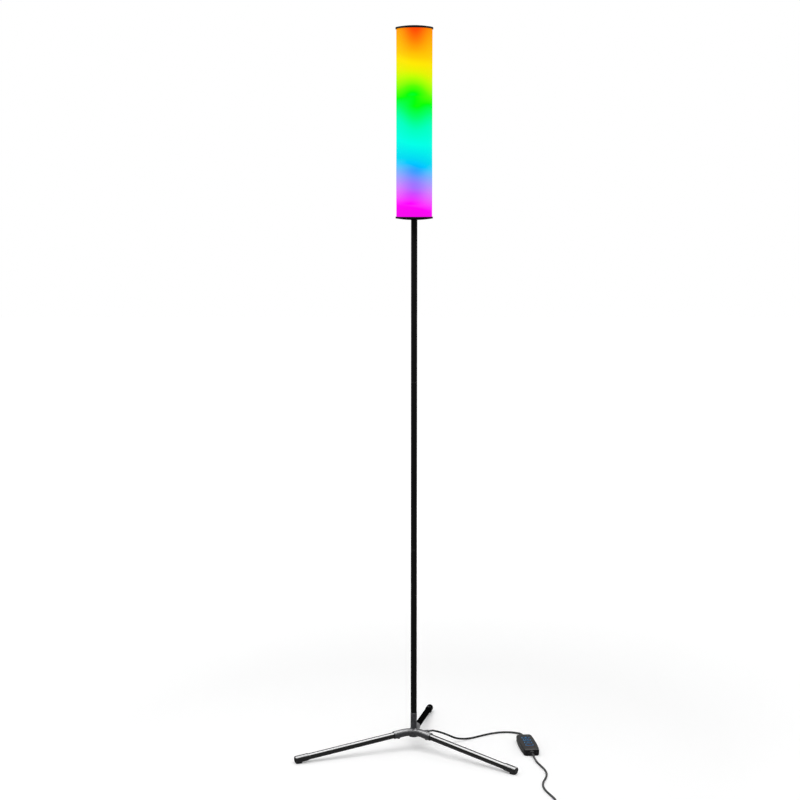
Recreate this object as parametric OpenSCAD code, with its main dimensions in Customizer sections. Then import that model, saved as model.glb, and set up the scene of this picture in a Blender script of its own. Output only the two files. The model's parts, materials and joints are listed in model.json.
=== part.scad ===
// LED floor lamp: a tube of coloured light on a slim pole, with a three-legged foot.
// Millimetres, +Z up. The floor is z = 0 and the pole stands on the Z axis.
// The lead leaves the foot through a gland, passes the button controller and ends in a plug.

/* [Lamp] */
// Height from the floor to the top of the shade
lamp_h = 1400; // [1250:1:1600]
// Direction of the rear leg, counted from the +X axis
rear_leg_angle = 81.5; // [78:0.5:86]

/* [Legs] */
// Distance from the pole's axis to the tip of a foot
leg_reach = 246; // [200:1:300]
// Slope of a leg below the horizontal
leg_slope = 6.8; // [6.2:0.1:8.5]
// Outer diameter of a leg tube
leg_d = 12; // [10:0.5:12.5]
// Wall of a leg tube
leg_wall = 1; // [0.8:0.1:1.5]
// Height of a leg's axis at the tip of its foot
foot_axis_h = 7.2; // [7.1:0.1:8.5]
// Outer diameter of a rubber foot
foot_d = 14; // [13.5:0.1:15]
// Length of a rubber foot
foot_l = 27; // [22:1:35]
// Rounding at the end of a foot
foot_round = 1.4; // [0.8:0.1:2]
// Rubber at the closed end of a foot
foot_end = 3; // [2:0.5:5]
// Length of the flat sole under a foot
sole_l = 12; // [8:0.5:16]
// Width of the flat sole under a foot
sole_w = 9; // [6:0.5:10]
// Corner radius of the sole
sole_corner = 2; // [1:0.5:2.5]
// Distance of the sole from the tip of the foot
sole_end = 2; // [1.5:0.5:4]

/* [Hub] */
// Outer diameter of the round hub body
hub_d = 20; // [20:0.5:24]
// Depth of the hub body below the axis of the arms
hub_drop = 9; // [8.6:0.1:12]
// Outer diameter of an arm
arm_d = 15.5; // [15:0.1:17]
// Distance from the pole's axis to the mouth of an arm
mouth_r = 42.5; // [40:0.5:50]
// Bend radius of an arm's arch
arch_r = 60; // [50:1:70]
// Rise of the arch towards the hub
arch_rise = 9; // [6:0.5:9.5]
// Depth to which a leg tube is pushed in
leg_insert = 20; // [17:0.5:22]
// Step between an arm's bent and straight parts
arm_step = 0.3; // [0.2:0.1:0.6]
// Height above the axis of the arms at which the hub body starts to narrow towards the neck
hub_shoulder = 2; // [1:0.5:4]
// Height of the hub body above the arms
hub_crown = 0.5; // [0.3:0.1:1.5]
// Outer diameter of the neck under the pole
neck_d = 12.6; // [12.4:0.1:16]
// Height of the neck
neck_h = 30; // [22:0.5:40]
// Length of the neck's plug inside the pole
neck_plug_l = 22; // [15:1:30]
// Bore of the neck, for the lead
neck_bore = 5; // [4.5:0.1:6]
// Height of the gland's axis above the underside of the hub
gland_h = 6; // [5.5:0.1:6.5]
// Diameter of the chamber in the hub body
chamber_d = 10; // [9.5:0.5:10.5]
// Height of the chamber above the gland's axis
chamber_h = 5; // [4.8:0.1:6]
// Thickness of the plug that closes the hub from below
hub_plug_t = 2; // [1.5:0.1:2.2]
// Wall beside the hub plug
hub_plug_wall = 3; // [2:0.1:3.5]

/* [Cord gland] */
// Length of the gland's boss outside the hub body
gland_boss_l = 5; // [4:0.5:7]
// Outer diameter of the gland's boss
gland_boss_d = 9; // [8.8:0.1:10]
// Diameter of the gland inside its boss
gland_d = 6; // [5:0.1:6.4]
// Diameter of the gland's collar
gland_collar_d = 8.4; // [7.6:0.1:8.8]
// Thickness of the gland's collar
gland_collar_t = 1.2; // [0.8:0.1:2]
// Diameter of the gland's tail at the collar
gland_tail_d = 7; // [6:0.1:7.4]
// Length of the gland's tail
gland_tail_l = 15; // [10:1:20]
// Rubber around the lead at the tail's end
gland_tip = 1.2; // [0.8:0.1:1.3]

/* [Pole] */
// Outer diameter of the pole
pole_d = 12; // [11:0.5:13]
// Wall of the pole's tube
pole_wall = 1; // [0.8:0.1:1.3]
// Bevel at the ends of each section
pole_bevel = 0.3; // [0.2:0.1:0.5]
// Length of a coupler inside a joint
coupler_l = 44; // [30:1:60]
// Bore of the couplers
coupler_bore = 5; // [4.5:0.1:6]

/* [Shade] */
// Height of the shade between its two rims
shade_l = 356; // [300:1:420]
// Outer diameter of the end caps
cap_d = 71; // [70.5:0.5:80]
// Outer diameter of the milky tube
diffuser_d = 68; // [60:0.5:68.5]
// Wall of the milky tube
diffuser_wall = 1; // [0.8:0.1:1.5]
// Crown of the upper cap
top_dome = 3.5; // [2.5:0.5:5]
// Crown of the lower cap
bottom_dome = 3; // [2:0.5:4]
// Height of the dark rims
rim_h = 3.2; // [1.8:0.1:4]
// Thickness of the caps at the rim
cap_floor = 1; // [0.8:0.1:1.5]
// Height of the ring that centres the milky tube
spigot_h = 8; // [5:1:12]
// Wall of that ring
spigot_wall = 1.4; // [1:0.1:2]
// Depth of the pole's socket above the lower rim's edge
socket_h = 15; // [12:1:20]
// Diameter of the socket's boss
boss_d = 26; // [25:0.5:34]
// Thickness of the socket's end wall
socket_end = 3; // [2:0.5:5]
// Depth of the upper cap's boss below the upper rim's edge
head_drop = 8; // [6:1:12]

/* [Fixing of the shade] */
// Diameter of the threaded stud on top of the pole
stud_d = 8; // [7:0.5:8.5]
// Bore of the stud, for the lead
stud_bore = 4; // [3.6:0.1:5]
// Length of the stud's plug inside the pole
stud_plug_l = 20; // [15:1:30]
// Stud that stands out above the nut
stud_spare = 1; // [0.5:0.5:2]
// Height of the nut
nut_h = 5; // [4:0.5:6]
// Width across the flats of the nut
nut_af = 13; // [12.5:0.1:13.2]
// Thickness of the washer
washer_t = 1; // [0.8:0.1:1.5]
// Outer diameter of the washer
washer_d = 14.5; // [12:0.5:15]

/* [Light core] */
// Width of the square profile
core_w = 20; // [19.5:0.5:22]
// Wall of the square profile
core_wall = 1.5; // [1:0.1:1.6]
// Flange of the plugs in its ends
core_flange_t = 2; // [1.5:0.5:3]
// Overhang of that flange
core_flange_over = 1.5; // [1:0.1:2]
// Length of the plugs inside the profile
core_plug_l = 14; // [13:1:20]
// Width of an LED strip
strip_w = 10; // [8:1:12]
// Thickness of an LED strip
strip_t = 0.4; // [0.3:0.1:0.6]
// Strip left free at each end of the profile
strip_margin = 3; // [2:1:8]
// Chips on each strip
chips = 10; // [6:1:12]
// Side of an LED chip
chip_w = 5; // [3:0.5:5.5]
// Height of an LED chip
chip_t = 1.6; // [1:0.1:2]
// Thickness of the terminal board
terminal_t = 1.2; // [0.8:0.1:1.6]

/* [Controller] */
// Length of the casing
box_l = 94.7; // [92:0.1:104]
// Width of the casing at its middle
box_w = 33.7; // [33:0.1:38]
// Width of the casing at its ends
box_end_w = 29.6; // [29:0.1:31]
// Thickness of the casing
box_t = 14; // [13.5:0.1:16]
// Height of the seam between its two shells
seam_h = 6.5; // [6.2:0.1:7]
// Corner radius of the casing
box_corner = 6.5; // [5:0.5:7]
// Rounding around the front
front_round = 3; // [2:0.1:3.2]
// Rounding around the back
back_round = 1.6; // [1:0.1:2]
// Height by which the panel stands proud
panel_t = 0.4; // [0.2:0.1:0.5]
// Width of the bevel around that panel
panel_bevel = 1.5; // [0.5:0.1:2]
// Groove along the seam
seam_groove = 0.3; // [0.2:0.1:0.5]
// Wall of the casing
box_wall = 1.8; // [1.5:0.1:2]
// Thickness of the front over the buttons
roof_t = 2.5; // [2.2:0.1:3]
// Place of the controller on the floor, to the right
box_x = 225; // [220:1:230]
// Place of the controller on the floor, to the back
box_y = 0; // [-5:1:5]
// Turn of the controller on the floor
box_turn = 6; // [0:1:10]

/* [Cord bosses] */
// Diameter of the boss at the upper end
inlet_d = 9.4; // [8:0.1:10]
// Length of the boss at the upper end
inlet_l = 2.3; // [1.8:0.1:4]
// Diameter of the boss at the lower end
outlet_d = 9.4; // [8:0.1:10]
// Length of the boss at the lower end
outlet_l = 3.9; // [2.5:0.1:6]
// Diameter of a boss in the casing's wall
boss_neck_d = 6; // [5.5:0.1:7]
// Diameter of its collar inside the wall
boss_collar_d = 8.6; // [7.8:0.1:8.8]
// Thickness of that collar
boss_collar_t = 1.5; // [1:0.1:2]

/* [Buttons] */
// Width of a button's lit ring
ring_w = 15; // [14:0.1:16]
// Height of a button's lit ring
ring_h = 9.2; // [8.6:0.1:10]
// Corner cut of the lit ring
ring_cut = 2.5; // [2:0.1:3]
// Thickness of the lit ring's line
ring_line = 0.8; // [0.5:0.1:1]
// Height by which the lit ring stands out
ring_proud = 0.1; // [0.1:0.05:0.2]
// Distance from one button to the next
button_pitch = 14.8; // [14.5:0.1:15.5]
// Place of the row's middle, towards the upper end
row_shift = 1.3; // [0:0.1:2]
// Height by which a button stands out
button_proud = 0.6; // [0.5:0.1:1]
// Bevel around a button's top
button_bevel = 0.3; // [0.2:0.05:0.5]
// Thickness of a button's collar
collar_t = 1; // [0.8:0.1:1.2]
// Overhang of a button's collar under the ring
collar_over = 0.6; // [0.4:0.1:0.8]
// Diameter of a button's stem
stem_d = 3.4; // [3:0.1:3.8]

/* [Circuit board] */
// Length of the board
board_l = 64; // [62:1:66]
// Width of the board
board_w = 24; // [22:0.5:25]
// Thickness of the board
board_t = 1.2; // [1:0.1:1.6]
// Height of the board's underside
board_z = 4; // [3.5:0.1:4.2]
// Diameter of the posts that hold the board
board_post_d = 2.6; // [2:0.1:3]
// Distance of those posts from the board's edges
board_post_in = 2; // [1.6:0.1:2.4]
// Length of a pad under a wire
pad_l = 4; // [3:0.5:5]
// Width of a pad under a wire
pad_w = 0.8; // [0.6:0.1:1]
// Width of a tactile switch
switch_w = 6; // [5.5:0.1:6.5]
// Height of a tactile switch
switch_h = 3.4; // [3.2:0.1:3.6]
// Height of a plunger above its switch
plunger_out = 0.8; // [0.7:0.05:1]
// Depth of a plunger inside its switch
plunger_in = 1; // [0.8:0.1:1.2]

/* [Casing screws] */
// Diameter of a casing screw
screw_d = 2; // [1.8:0.1:2.2]
// Diameter of its head
screw_head_d = 3.8; // [3.4:0.1:4]
// Height of its head
screw_head_t = 1.4; // [1.2:0.1:1.5]
// Diameter of the posts in the front
screw_post_d = 5; // [4.4:0.1:5.6]
// Distance of a screw from the casing's side
screw_side = 7.6; // [7.2:0.1:8]
// Distance of a screw from the casing's end
screw_end = 10.3; // [9.5:0.1:11]
// Depth of a screw in the front
screw_grip = 3; // [2.5:0.1:3.5]

/* [Cord] */
// Diameter of the round cord
cord_d = 4; // [3.8:0.1:4.2]
// Jacket of the round cord
jacket_t = 0.15; // [0.15:0.01:0.2]
// Diameter of an insulated wire
wire_d = 1.1; // [0.9:0.05:1.1]
// Diameter of the lead inside the pole
lead_d = 3; // [2.6:0.1:3.2]
// Radius of the coil's outer turn
coil_r = 29; // [28:0.5:32]
// Space between two turns of the coil
coil_gap = 0.7; // [0.6:0.05:0.9]
// Turns in each of the coil's two layers
coil_turns = 3; // [2:1:3]
// Thickness of the tie's band
tie_t = 0.6; // [0.5:0.05:0.8]
// Width of the tie's band
tie_w = 5; // [3:0.5:8]

/* [Plug] */
// Width of the moulded grip
grip_w = 15.6; // [14:0.1:17]
// Thickness of the moulded grip
grip_t = 8.4; // [7.5:0.1:9]
// Corner radius of the moulded grip
grip_corner = 2; // [1:0.5:3]
// Length of the moulded grip
grip_l = 27; // [20:1:32]
// Length of the tail that relieves the cord
tail_l = 11; // [8:1:16]
// Width of the metal shell, a standard size
shell_w = 12; // [12:0.1:12.2]
// Thickness of the metal shell, a standard size
shell_t = 4.5; // [4.5:0.05:4.6]
// Length of the metal shell outside the grip
shell_l = 12; // [11.75:0.05:12.5]
// Sheet of the metal shell
shell_sheet = 0.3; // [0.25:0.05:0.35]
// Length of the metal shell inside the grip
shell_in = 8; // [6:0.5:10]
// Width of the shell's square windows
latch_w = 2.2; // [2:0.1:2.4]
// Distance of those windows from the middle
latch_y = 2.9; // [2.6:0.1:3]
// Thickness of the tongue inside
tongue_t = 1.8; // [1.7:0.05:1.9]
// Distance of the tongue from the shell's mouth
tongue_back = 0.6; // [0.4:0.1:1]
// Width of a contact
contact_w = 1; // [0.8:0.1:1.2]
// Thickness of a contact
contact_t = 0.2; // [0.15:0.05:0.3]

/* [Fasteners of the foot] */
// Diameter of the lock screws
lock_d = 3; // [2.5:0.1:3.2]
// Diameter of their heads
lock_head_d = 5.4; // [5:0.1:5.8]
// Height of their heads
lock_head_t = 1.8; // [1.4:0.1:2]
// Depth of the flats on which they sit
lock_flat = 0.6; // [0.4:0.1:0.8]
// Length of their shanks
lock_l = 5; // [4:0.5:5.5]
// Diameter of the screw in the upper cap
cap_screw_d = 3; // [2.5:0.1:3.5]

/* [Clearances] */
// Gap around what is pushed or screwed in
fit_gap = 0.05; // [0.05:0.01:0.08]
// Gap around what slides
slide_gap = 0.2; // [0.15:0.01:0.25]

/* [Hidden] */
$fn = 48;
SMALL = 0.01;

// Colours as the photograph shows them
BLACK = [0.05, 0.05, 0.06];
RUBBER = [0.09, 0.09, 0.10];
GREY = [0.30, 0.31, 0.33];
PLASTIC = [0.11, 0.11, 0.12];
MILKY = [0.30, 0.92, 0.62, 0.6];
STEEL = [0.72, 0.73, 0.75];
ALUMINIUM = [0.80, 0.81, 0.83];
WHITE = [0.93, 0.93, 0.92];
BOARD = [0.08, 0.32, 0.20];
BLUE = [0.10, 0.60, 0.95];
BRASS = [0.85, 0.68, 0.30];
RED = [0.60, 0.12, 0.08];

// A leg's own axis: local z runs outwards and down, with 0 at the tip of the foot
mouth_z = -(leg_reach - mouth_r) / cos(leg_slope);
tube_z = mouth_z - leg_insert;
lock_z = mouth_z - leg_insert / 2;

// Centre of an arm's arch, from the inner end of its straight part
arch_x = leg_reach + tube_z * cos(leg_slope) - arch_r * sin(leg_slope);
arch_z = foot_axis_h - tube_z * sin(leg_slope) - arch_r * cos(leg_slope);
arch_overlap = 1;
arm_top = arch_z + arch_r;

// Heights in the hub
hub_z = arm_top - hub_drop;
hub_top = arm_top + arm_d / 2 + hub_crown;
gland_z = hub_z + gland_h;
pole_z = hub_top + neck_h;
hub_plug_d = hub_d - 2 * hub_plug_wall;
lead_bend = 2 * lead_d;

// The gland points midway between the rear and the right leg
gland_turn = rear_leg_angle - 60;
gland_dir = [cos(gland_turn), sin(gland_turn), 0];
gland_in_r = chamber_d / 2 + 1;
gland_boss_r = hub_d / 2 + gland_boss_l;
gland_tail_r = gland_boss_r + gland_collar_t;
gland_end_r = gland_tail_r + gland_tail_l;

// Heights in the shade
shade_top = lamp_h - top_dome;
shade_z = shade_top - shade_l;
socket_z = shade_z + socket_h;
boss_z = socket_z + socket_end;
core_z = boss_z + core_flange_t;
head_z = shade_top - head_drop;
core_top = head_z - core_flange_t;
core_l = core_top - core_z;
terminal_z = core_z + core_plug_l;

// Widths in the pole and the shade
pole_in = pole_d - 2 * pole_wall;
pole_plug_d = pole_in - 2 * fit_gap;
section_l = (socket_z - pole_z) / 3;
diffuser_in = diffuser_d - 2 * diffuser_wall;
core_in = core_w - 2 * core_wall;
core_plug_w = core_in - 2 * fit_gap;
flange_w = core_w + 2 * core_flange_over;
stud_top = core_z + washer_t + nut_h + stud_spare;
nut_corner_d = nut_af / cos(30);
csk_d = 1.9 * cap_screw_d;
csk_h = (csk_d - cap_screw_d) / 2;

// Heights in the controller
panel_z = box_t - panel_t;
roof_z = box_t - roof_t;
board_top = board_z + board_t;
switch_top = board_top + switch_h;
plunger_top = switch_top + plunger_out;
collar_top = roof_z - slide_gap;
collar_z = collar_top - collar_t;
button_top = box_t + button_proud;
screw_seat = screw_head_t + 0.4;
pad_h = seam_h - wire_d / 2 - board_top;
wire_pitch = wire_d + 0.1;

// Chips on the circuit board: place of the middle, then width, length and height
BOARD_CHIPS = [[-7.5, -9.5, 4, 5, 1.5], [-7.5, 5.5, 3.4, 3, 1.2], [-7.5, 11.5, 3.4, 3, 1.2]];
RING_LED = [3.2, 1.6, 1];

// Places in the plug
shell_z = tail_l + grip_l - shell_in;
shell_all = shell_l + shell_in;
tongue_x = shell_t / 2 - shell_sheet - fit_gap - tongue_t;

function leg_angle(i) = rear_leg_angle + 120 * i;
function button_y(i) = row_shift + (1.5 - i) * button_pitch;
function at_box(p) = [
    box_x + p[0] * cos(box_turn) - p[1] * sin(box_turn),
    box_y + p[0] * sin(box_turn) + p[1] * cos(box_turn),
    p[2]
];

// Outline of the casing: long sides of one large radius and round corners, moved inwards by inset
side_bulge = (box_w - box_end_w) / 2;
side_r = (pow(box_l / 2, 2) + pow(side_bulge, 2)) / (2 * side_bulge);
side_x = side_r - box_w / 2;
side_steps = 5;
corner_steps = 5;
function quarter(inset) = let (
    corner = max(box_corner - inset, 1),
    r = side_r - inset,
    y = box_l / 2 - inset - corner,
    x = sqrt(pow(r - corner, 2) - y * y) - side_x,
    turn = atan2(y, x + side_x)
) concat(
    [for (k = [0 : side_steps]) let (a = turn * k / side_steps) [r * cos(a) - side_x, r * sin(a)]],
    [for (k = [1 : corner_steps]) let (a = turn + (90 - turn) * k / corner_steps)
        [x + corner * cos(a), y + corner * sin(a)]]
);
function backwards(list) = [for (k = [len(list) - 1 : -1 : 0]) list[k]];
function box_outline(inset) = let (q = quarter(inset), n = len(q)) concat(
    q,
    [for (p = backwards(q)) [-p[0], p[1]]],
    [for (k = [1 : n - 1]) [-q[k][0], -q[k][1]]],
    [for (k = [n - 1 : -1 : 1]) [q[k][0], -q[k][1]]]
);

// Octagon of a lit ring, moved inwards by inset
function ring_octagon(inset) = let (
    x = ring_w / 2 - inset,
    y = ring_h / 2 - inset,
    cut = ring_cut - inset * (2 - sqrt(2))
) [
    [x, -y + cut], [x, y - cut], [x - cut, y], [-x + cut, y],
    [-x, y - cut], [-x, -y + cut], [-x + cut, -y], [x - cut, -y]
];

// The coil winds clockwise and inwards on the floor, climbs in half a turn at its
// innermost turn and winds outwards again on top. It rests on the band of its tie.
coil_x = 225;
coil_y = -355;
tie_slack = 0.3;
tie_place = 0.68;
loop_rings = 24;
last_turn = 0.25;
coil_step = cord_d + coil_gap;
coil_z = tie_t + cord_d / 2 + tie_slack;
function climb(t) = min(max(2 * (t - coil_turns) + 0.5, 0), 1);
function coil_radius(t) = coil_r - coil_step * (coil_turns - abs(coil_turns - t));
function coil_point(t) = [
    coil_x + coil_radius(t) * cos(360 * t),
    coil_y - coil_radius(t) * sin(360 * t),
    coil_z + coil_step * climb(t)
];
coil_path = [for (k = [0 : (2 * coil_turns + last_turn) * loop_rings]) coil_point(k / loop_rings)];
coil_start = coil_path[0] + [0, cord_d, 0];
coil_end = coil_path[len(coil_path) - 1] - [cord_d, 0, 0];
coil_route = concat([coil_start], coil_path, [coil_end]);

// Route of the cord. Its ends meet the gland, the controller, the coil and the plug. The
// points between are chosen by hand, and on the floor they lie half the cord's diameter up.
plug_x = 182;
plug_y = -385;
plug_z = grip_t / 2;
box_dir = [-sin(box_turn), cos(box_turn), 0];
gland_end = gland_end_r * gland_dir + [0, 0, gland_z];
inlet_end = at_box([0, box_l / 2 + inlet_l, seam_h]);
outlet_end = at_box([0, -box_l / 2 - outlet_l, seam_h]);
lead_route = concat(
    [gland_end, gland_end + 9 * gland_dir],
    [
        [52, 21, 26], [68, 28, 18], [84, 36, 9], [101, 46, 4], [119, 58, 2.2], [138, 72, 2.1],
        [158, 85, 2.1], [179, 93, 2.1], [199, 92, 2.3], [213, 82, 3.5], [218.5, 68, 5.6]
    ],
    [inlet_end + 6 * box_dir, inlet_end]
);
supply_route = concat(
    [outlet_end, outlet_end - 6 * box_dir],
    [
        [233, -74, 4.6], [237, -93, 2.8], [243, -113, 2.2], [248, -134, 2.1], [249, -156, 2.1],
        [245, -178, 2.1], [239, -200, 2.1], [237, -222, 2.1], [240, -244, 2.1], [246, -265, 2.2],
        [252, -286, 2.3], [255, -310, 2.5]
    ],
    [coil_start + [0, 16, 0], coil_start + [0, 8, 0], coil_start]
);
tail_route = concat(
    [coil_end, coil_end - [6, 0, 0]],
    [[plug_x + 23, plug_y, 6.5]],
    [[plug_x + 8, plug_y, plug_z], [plug_x, plug_y, plug_z]]
);

// One smooth curve through the points of a route, with steps rings between two of them
function spline(a, b, c, d, t) = 0.5 * (2 * b + (c - a) * t + (2 * a - 5 * b + 4 * c - d) * t * t
    + (3 * b - a - 3 * c + d) * t * t * t);
function smooth(p, steps) = let (n = len(p)) concat(
    [for (i = [0 : n - 2]) for (k = [0 : steps - 1])
        i == 0 || i == n - 2
            ? p[i] + (p[i + 1] - p[i]) * k / steps
            : spline(p[i - 1], p[i], p[i + 1], p[i + 2], k / steps)],
    [p[n - 1]]
);

// Least gap of the coil to itself, between rings that lie half a turn or more apart
last_ring = len(coil_path) - 1;
coil_nearest = min([
    for (i = [0 : last_ring]) for (j = [i + loop_rings / 2 : 1 : last_ring]) norm(coil_path[i] - coil_path[j])
]) - cord_d;
echo(least_gap_in_the_coil = coil_nearest);

// Lengths of the cord's stretches
function sum_of(list) = list * [for (k = list) 1];
function route_length(p) = sum_of([for (i = [1 : len(p) - 1]) norm(p[i] - p[i - 1])]);
echo(lead_length = route_length(smooth(lead_route, 3)));
echo(supply_length = route_length(smooth(supply_route, 3)));
echo(coil_length = route_length(coil_route));
echo(tail_length = route_length(smooth(tail_route, 3)));

// Tube of a round section around a route that is never upright
function along(p, i) = let (d = p[min(i + 1, len(p) - 1)] - p[max(i - 1, 0)]) d / norm(d);
module sweep(path, sides) {
    n = len(path);
    points = [for (i = [0 : n - 1]) let (
        t = along(path, i),
        side = cross(t, [0, 0, 1]) / norm(cross(t, [0, 0, 1])),
        up = cross(side, t)
    ) for (k = [0 : sides - 1]) let (a = 360 * k / sides)
        path[i] + cord_d / 2 * (side * cos(a) + up * sin(a))];
    walls = [for (i = [0 : n - 2]) for (k = [0 : sides - 1]) let (
        a = i * sides + k,
        b = i * sides + (k + 1) % sides
    ) each [[a, b, a + sides], [b, b + sides, a + sides]]];
    first = [for (k = [1 : sides - 2]) [0, k + 1, k]];
    last = [for (k = [1 : sides - 2]) [0, k, k + 1] + (n - 1) * sides * [1, 1, 1]];
    polyhedron(points, concat(walls, first, last));
}

// Solid through a stack of like outlines, each a list of [x, y] at its own height
module loft(outlines, heights) {
    m = len(outlines[0]);
    levels = len(outlines);
    points = [for (j = [0 : levels - 1]) for (p = outlines[j]) [p[0], p[1], heights[j]]];
    walls = [for (j = [0 : levels - 2]) for (k = [0 : m - 1]) let (
        a = j * m + k,
        b = j * m + (k + 1) % m
    ) each [[a, a + m, b], [b, a + m, b + m]]];
    floor_face = [for (k = [1 : m - 2]) [0, k, k + 1]];
    roof_face = [for (k = [1 : m - 2]) [0, k + 1, k] + (levels - 1) * m * [1, 1, 1]];
    polyhedron(points, concat(walls, floor_face, roof_face));
}

// Plain shapes
module tube(d, bore, l) {
    difference() {
        cylinder(d = d, h = l);
        translate([0, 0, -1]) cylinder(d = bore, h = l + 2);
    }
}
module square_prism(w, h) {
    translate([-w / 2, -w / 2, 0]) cube([w, w, h]);
}
module rounded_square(w, h, corner) {
    for (x = [-1, 1]) for (y = [-1, 1])
        translate([x * (w / 2 - corner), y * (h / 2 - corner)]) circle(r = corner);
    square([w, h - 2 * corner], center = true);
    square([w - 2 * corner, h], center = true);
}

// Screw whose shank runs up from z = 0, with a cross in its round head below
module pan_screw(d, head_d, head_t, l) {
    slot = 0.15 * head_d;
    cylinder(d = d, h = l);
    difference() {
        translate([0, 0, -head_t]) cylinder(d = head_d, h = head_t);
        for (w = [[4 * slot, slot], [slot, 4 * slot]])
            translate([-w[0] / 2, -w[1] / 2, -head_t - SMALL]) cube([w[0], w[1], head_t / 2]);
    }
}

// Places on the lamp
module on_leg(i) {
    rotate([0, 0, leg_angle(i)]) translate([leg_reach, 0, foot_axis_h])
        rotate([0, 90 + leg_slope, 0]) children();
}
module on_lock(i) {
    on_leg(i) translate([arm_d / 2 - lock_flat, 0, lock_z]) rotate([0, -90, 0]) children();
}
module on_gland() {
    rotate([0, 0, gland_turn]) translate([0, 0, gland_z]) rotate([0, 90, 0]) children();
}
module on_box() {
    translate([box_x, box_y, 0]) rotate([0, 0, box_turn]) children();
}
module on_button(i) {
    on_box() translate([0, button_y(i), 0]) children();
}
module at_end(side) {
    on_box() translate([0, side * box_l / 2, seam_h]) rotate([-side * 90, 0, 0]) children();
}
module at_corners(x, y) {
    for (i = [-1, 1]) for (j = [-1, 1]) translate([i * x, j * y, 0]) children();
}
module at_screws() {
    at_corners(box_w / 2 - screw_side, box_l / 2 - screw_end) children();
}
module at_board_posts() {
    at_corners(board_w / 2 - board_post_in, board_l / 2 - board_post_in) children();
}
module on_plug() {
    translate([plug_x, plug_y, plug_z]) rotate([0, 0, 180]) rotate([0, 90, 0]) children();
}

// The foot
module arm(i) {
    rotate([0, 0, leg_angle(i)]) translate([arch_x, 0, arch_z])
        rotate([90, 0, 0]) rotate([0, 0, 90 - leg_slope - arch_overlap])
            rotate_extrude(angle = leg_slope + arch_rise + arch_overlap)
                translate([arch_r, 0]) circle(d = arm_d - arm_step);
    on_leg(i) translate([0, 0, tube_z]) cylinder(d = arm_d, h = leg_insert);
}
module lock_bore() {
    translate([0, 0, -1]) cylinder(d = lock_d + 2 * fit_gap, h = lock_l + 1.5);
}
module hub() {
    color(GREY) difference() {
        union() {
            rotate_extrude() polygon([
                [0, hub_z], [hub_d / 2, hub_z], [hub_d / 2, arm_top + hub_shoulder],
                [neck_d / 2, hub_top], [neck_d / 2, pole_z], [pole_plug_d / 2, pole_z],
                [pole_plug_d / 2, pole_z + neck_plug_l], [0, pole_z + neck_plug_l]
            ]);
            for (i = [0 : 2]) arm(i);
            on_gland() cylinder(d = gland_boss_d, h = gland_boss_r);
        }
        translate([0, 0, gland_z]) cylinder(d = neck_bore, h = pole_z + neck_plug_l);
        translate([0, 0, hub_z - 1]) cylinder(d = chamber_d, h = gland_h + chamber_h + 1);
        translate([0, 0, hub_z - 1]) cylinder(d = hub_plug_d + 2 * fit_gap, h = hub_plug_t + 1);
        on_gland() cylinder(d = gland_d + 2 * fit_gap, h = gland_boss_r + 1);
        for (i = [0 : 2]) {
            on_leg(i) translate([0, 0, tube_z]) cylinder(d = leg_d + 2 * fit_gap, h = leg_insert + 1);
            on_lock(i) translate([0, 0, -lock_head_t - 1])
                cylinder(d = lock_head_d + 2 * slide_gap, h = lock_head_t + 1);
            on_lock(i) lock_bore();
        }
    }
}
module hub_bottom_plug() {
    color(PLASTIC) translate([0, 0, hub_z]) {
        cylinder(d = hub_plug_d, h = hub_plug_t);
        cylinder(d = chamber_d - 2 * fit_gap, h = 2 * hub_plug_t);
    }
}
module cord_gland() {
    color(RUBBER) on_gland() difference() {
        union() {
            translate([0, 0, gland_in_r]) cylinder(d = gland_d, h = gland_boss_r - gland_in_r);
            translate([0, 0, gland_boss_r]) cylinder(d = gland_collar_d, h = gland_collar_t);
            translate([0, 0, gland_tail_r])
                cylinder(d1 = gland_tail_d, d2 = lead_d + 2 * gland_tip, h = gland_tail_l);
        }
        cylinder(d = lead_d + 2 * fit_gap, h = gland_end_r + 1);
    }
}
module leg_tube(i) {
    color(BLACK) difference() {
        on_leg(i) translate([0, 0, tube_z]) tube(leg_d, leg_d - 2 * leg_wall, -foot_end - tube_z);
        on_lock(i) lock_bore();
    }
}
module leg_lock_screws() {
    color(STEEL) for (i = [0 : 2]) on_lock(i) pan_screw(lock_d, lock_head_d, lock_head_t, lock_l);
}
// Rubber cup on the end of a leg, with a pad under it that is flat on the floor
module foot_cap(i) {
    r = foot_d / 2;
    color(RUBBER) difference() {
        union() {
            on_leg(i) rotate_extrude() polygon([
                [0, -foot_l], [r, -foot_l], [r, -foot_round],
                [r - 0.3 * foot_round, -0.3 * foot_round], [r - foot_round, 0], [0, 0]
            ]);
            rotate([0, 0, leg_angle(i)]) translate([leg_reach - sole_end - sole_l / 2, 0, 0])
                linear_extrude(foot_axis_h) rounded_square(sole_l, sole_w, sole_corner);
        }
        on_leg(i) translate([0, 0, -2 * foot_l])
            cylinder(d = leg_d + 2 * fit_gap, h = 2 * foot_l - foot_end);
    }
}

// The pole
module pole_section(k) {
    r = pole_d / 2;
    color(BLACK) translate([0, 0, pole_z + k * section_l]) rotate_extrude() polygon([
        [pole_in / 2, 0], [r - pole_bevel, 0], [r, pole_bevel],
        [r, section_l - pole_bevel], [r - pole_bevel, section_l], [pole_in / 2, section_l]
    ]);
}
module pole_coupler(k) {
    color(STEEL) translate([0, 0, pole_z + k * section_l - coupler_l / 2])
        tube(pole_plug_d, coupler_bore, coupler_l);
}
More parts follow.
